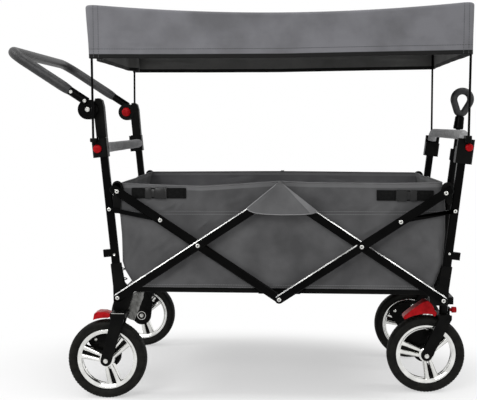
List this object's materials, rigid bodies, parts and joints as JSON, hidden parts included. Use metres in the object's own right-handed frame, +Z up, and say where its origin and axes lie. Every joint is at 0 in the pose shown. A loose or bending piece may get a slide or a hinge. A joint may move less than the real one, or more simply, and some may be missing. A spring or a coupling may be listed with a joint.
{
  "type": "folding hand-pulled wagon",
  "caption": "Folding wagon with a fabric basket on a scissor frame, sun canopy, tilting push handle, telescopic pull bar, swivel front wheels and foot brakes.",
  "frame": {"origin": "on the ground under the middle of the wagon's overall box", "axes": "+Z up, +X to the front where the pull bar is, +Y to the wagon's left"},
  "size_m": [1.2147, 0.64, 0.985],
  "materials": {
    "frame_black": "satin black powder coat",
    "plastic_black": "matte black moulding",
    "foam_dark": "dark grey foam grip",
    "foam_grey": "grey foam grip",
    "red_plastic": "glossy red moulding",
    "tyre_rubber": "ribbed black tyre",
    "rim_silver": "bright plated moulding",
    "basket_fabric": "dark grey woven fabric",
    "canopy_fabric": "grey woven fabric"
  },
  "bodies": {
    "root": {"rear_post_right": "frame_black", "rear_post_left": "frame_black", "rear_lower_crossbar": "frame_black", "rear_grip": "foam_grey", "rear_fork_right": "plastic_black", "rear_fork_left": "plastic_black", "rear_collar_right": "plastic_black", "rear_collar_left": "plastic_black", "rear_canopy_bow": "frame_black", "canopy": "canopy_fabric"},
    "handle_carriage": {"handle_leg_right": "plastic_black", "handle_leg_left": "plastic_black"},
    "push_handle": {"push_handle": "frame_black", "push_handle_foam": "foam_dark"},
    "hub_button_right": {"hub_button_right": "red_plastic"},
    "hub_button_left": {"hub_button_left": "red_plastic"},
    "collar_button_right": {"collar_button_right": "red_plastic"},
    "collar_button_left": {"collar_button_left": "red_plastic"},
    "rear_wheel_right": {"rear_rim_right": "rim_silver", "rear_tyre_right": "tyre_rubber"},
    "rear_wheel_left": {"rear_rim_left": "rim_silver", "rear_tyre_left": "tyre_rubber"},
    "rear_brake_right": {"rear_brake_pedal_right": "red_plastic"},
    "rear_brake_left": {"rear_brake_pedal_left": "red_plastic"},
    "rear_outer_bars": {"rear_outer_bar_right": "frame_black", "rear_outer_bar_left": "frame_black"},
    "front_inner_bars": {"front_inner_bar_right": "frame_black", "front_inner_bar_left": "frame_black"},
    "rear_inner_bars": {"rear_inner_bar_right": "frame_black", "rear_inner_bar_left": "frame_black"},
    "front_outer_bars": {"front_outer_bar_right": "frame_black", "front_outer_bar_left": "frame_black"},
    "front_frame": {"front_post_right": "frame_black", "front_post_left": "frame_black", "front_lower_crossbar": "frame_black", "front_canopy_bow": "frame_black", "front_arch": "foam_grey"},
    "basket": {"basket": "basket_fabric"},
    "floor_centre": {"floor_centre_slat": "plastic_black"},
    "rear_links": {"rear_link_right": "frame_black", "rear_link_left": "frame_black"},
    "front_links": {"front_link_right": "frame_black", "front_link_left": "frame_black"},
    "rear_board": {"rear_floor_board": "plastic_black"},
    "front_board": {"front_floor_board": "plastic_black"},
    "clamp_button_right": {"clamp_button_right": "red_plastic"},
    "clamp_button_left": {"clamp_button_left": "red_plastic"},
    "caster_right": {"caster_fork_right": "plastic_black"},
    "front_wheel_right": {"front_rim_right": "rim_silver", "front_tyre_right": "tyre_rubber"},
    "front_brake_right": {"front_brake_pedal_right": "red_plastic"},
    "swivel_lock_right": {"swivel_lock_right": "red_plastic"},
    "caster_left": {"caster_fork_left": "plastic_black"},
    "front_wheel_left": {"front_rim_left": "rim_silver", "front_tyre_left": "tyre_rubber"},
    "front_brake_left": {"front_brake_pedal_left": "red_plastic"},
    "swivel_lock_left": {"swivel_lock_left": "red_plastic"},
    "drawbar": {"drawbar_tube": "frame_black"},
    "drawbar_handle": {"drawbar_handle": "foam_dark"}
  },
  "joints": [
    {"name": "handle_lift", "type": "slide", "parent": "root", "child": "handle_carriage", "axis": [-0.0975, 0, 0.9952], "range_m": [0, 0.12]},
    {"name": "handle_tilt", "type": "hinge", "parent": "handle_carriage", "child": "push_handle", "pos_m": [-0.39755, 0, 0.732], "axis": [0, 1, 0], "range_deg": [-115, 45]},
    {"name": "hub_button_push_right", "type": "slide", "parent": "handle_carriage", "child": "hub_button_right", "axis": [0, -1, 0], "range_m": [0, 0.003], "stiffness_N_per_m": 800},
    {"name": "hub_button_push_left", "type": "slide", "parent": "handle_carriage", "child": "hub_button_left", "axis": [0, 1, 0], "range_m": [0, 0.003], "stiffness_N_per_m": 800},
    {"name": "collar_button_push_right", "type": "slide", "parent": "root", "child": "collar_button_right", "axis": [0, 1, 0], "range_m": [0, 0.003], "stiffness_N_per_m": 800},
    {"name": "collar_button_push_left", "type": "slide", "parent": "root", "child": "collar_button_left", "axis": [0, -1, 0], "range_m": [0, 0.003], "stiffness_N_per_m": 800},
    {"name": "rear_wheel_spin_right", "type": "hinge", "parent": "root", "child": "rear_wheel_right", "pos_m": [-0.3551, -0.278, 0.1], "axis": [0, 1, 0], "continuous": true},
    {"name": "rear_wheel_spin_left", "type": "hinge", "parent": "root", "child": "rear_wheel_left", "pos_m": [-0.3551, 0.278, 0.1], "axis": [0, 1, 0], "continuous": true},
    {"name": "rear_brake_press_right", "type": "hinge", "parent": "root", "child": "rear_brake_right", "pos_m": [-0.3489, -0.278, 0.214], "axis": [0, -1, 0], "range_deg": [0, 4]},
    {"name": "rear_brake_press_left", "type": "hinge", "parent": "root", "child": "rear_brake_left", "pos_m": [-0.3489, 0.278, 0.214], "axis": [0, -1, 0], "range_deg": [0, 4]},
    {"name": "fold", "type": "hinge", "parent": "root", "child": "rear_outer_bars", "pos_m": [-0.3271, 0, 0.258], "axis": [0, -1, 0], "range_deg": [0, 42], "deforming": ["basket", "canopy"]},
    {"name": "fold_front_inner", "type": "hinge", "parent": "rear_outer_bars", "child": "front_inner_bars", "pos_m": [0.0809, 0, 0.527], "axis": [0, -1, 0], "range_deg": [-84.5, 0]},
    {"name": "fold_rear_inner", "type": "hinge", "parent": "rear_outer_bars", "child": "rear_inner_bars", "pos_m": [-0.1231, 0, 0.3925], "axis": [0, -1, 0], "range_deg": [-84.5, 0]},
    {"name": "fold_front_outer", "type": "hinge", "parent": "front_inner_bars", "child": "front_outer_bars", "pos_m": [0.2849, 0, 0.3925], "axis": [0, -1, 0], "range_deg": [0, 84.5]},
    {"name": "fold_front_frame", "type": "hinge", "parent": "front_inner_bars", "child": "front_frame", "pos_m": [0.4889, 0, 0.258], "axis": [0, -1, 0], "range_deg": [0, 42.5]},
    {"name": "fold_basket", "type": "hinge", "parent": "rear_outer_bars", "child": "basket", "pos_m": [0.0809, 0, 0.527], "axis": [0, -1, 0], "range_deg": [-42.5, 0]},
    {"name": "fold_floor_centre", "type": "hinge", "parent": "rear_inner_bars", "child": "floor_centre", "pos_m": [0.0809, 0, 0.258], "axis": [0, -1, 0], "range_deg": [0, 42.5]},
    {"name": "fold_rear_links", "type": "hinge", "parent": "root", "child": "rear_links", "pos_m": [-0.34895, 0, 0.481], "axis": [0, -1, 0], "range_deg": [0, 77.8]},
    {"name": "fold_front_links", "type": "hinge", "parent": "front_frame", "child": "front_links", "pos_m": [0.51477, 0, 0.481], "axis": [0, -1, 0], "range_deg": [-76.2, 0]},
    {"name": "fold_rear_board", "type": "hinge", "parent": "root", "child": "rear_board", "pos_m": [-0.3151, 0, 0.258], "axis": [0, -1, 0], "range_deg": [0, 74]},
    {"name": "fold_front_board", "type": "hinge", "parent": "front_frame", "child": "front_board", "pos_m": [0.4769, 0, 0.258], "axis": [0, -1, 0], "range_deg": [-74, 0]},
    {"name": "clamp_button_push_right", "type": "slide", "parent": "front_frame", "child": "clamp_button_right", "axis": [0, 1, 0], "range_m": [0, 0.003], "stiffness_N_per_m": 800},
    {"name": "clamp_button_push_left", "type": "slide", "parent": "front_frame", "child": "clamp_button_left", "axis": [0, -1, 0], "range_m": [0, 0.003], "stiffness_N_per_m": 800},
    {"name": "caster_swivel_right", "type": "hinge", "parent": "front_frame", "child": "caster_right", "pos_m": [0.5054, -0.18, 0.2072], "axis": [0, 0, 1], "continuous": true},
    {"name": "front_wheel_spin_right", "type": "hinge", "parent": "caster_right", "child": "front_wheel_right", "pos_m": [0.4604, -0.18, 0.1], "axis": [0, 1, 0], "continuous": true},
    {"name": "front_brake_press_right", "type": "hinge", "parent": "caster_right", "child": "front_brake_right", "pos_m": [0.4776, -0.18, 0.2085], "axis": [0, -1, 0], "range_deg": [0, 4]},
    {"name": "swivel_lock_pull_right", "type": "slide", "parent": "caster_right", "child": "swivel_lock_right", "axis": [1, 0, 0], "range_m": [0, 0.005], "stiffness_N_per_m": 800},
    {"name": "caster_swivel_left", "type": "hinge", "parent": "front_frame", "child": "caster_left", "pos_m": [0.5054, 0.18, 0.2072], "axis": [0, 0, 1], "continuous": true},
    {"name": "front_wheel_spin_left", "type": "hinge", "parent": "caster_left", "child": "front_wheel_left", "pos_m": [0.4604, 0.18, 0.1], "axis": [0, 1, 0], "continuous": true},
    {"name": "front_brake_press_left", "type": "hinge", "parent": "caster_left", "child": "front_brake_left", "pos_m": [0.4776, 0.18, 0.2085], "axis": [0, -1, 0], "range_deg": [0, 4]},
    {"name": "swivel_lock_pull_left", "type": "slide", "parent": "caster_left", "child": "swivel_lock_left", "axis": [1, 0, 0], "range_m": [0, 0.005], "stiffness_N_per_m": 800},
    {"name": "drawbar_tilt", "type": "hinge", "parent": "front_frame", "child": "drawbar", "pos_m": [0.5149, 0, 0.25], "axis": [0, 1, 0], "range_deg": [0, 80]},
    {"name": "drawbar_slide", "type": "slide", "parent": "drawbar", "child": "drawbar_handle", "axis": [0.1172, 0, 0.9931], "range_m": [0, 0.25]}
  ],
  "couplings": [
    {"joint": "fold_front_inner", "follows": "fold", "ratio": -2},
    {"joint": "fold_rear_inner", "follows": "fold", "ratio": -2},
    {"joint": "fold_front_outer", "follows": "fold", "ratio": 2},
    {"joint": "fold_front_frame", "follows": "fold", "ratio": 1},
    {"joint": "fold_basket", "follows": "fold", "ratio": -1},
    {"joint": "fold_floor_centre", "follows": "fold", "ratio": 1},
    {"joint": "fold_rear_links", "follows": "fold", "ratio": 1.84},
    {"joint": "fold_front_links", "follows": "fold", "ratio": -1.8},
    {"joint": "fold_rear_board", "follows": "fold", "ratio": 1.75},
    {"joint": "fold_front_board", "follows": "fold", "ratio": -1.75}
  ]
}
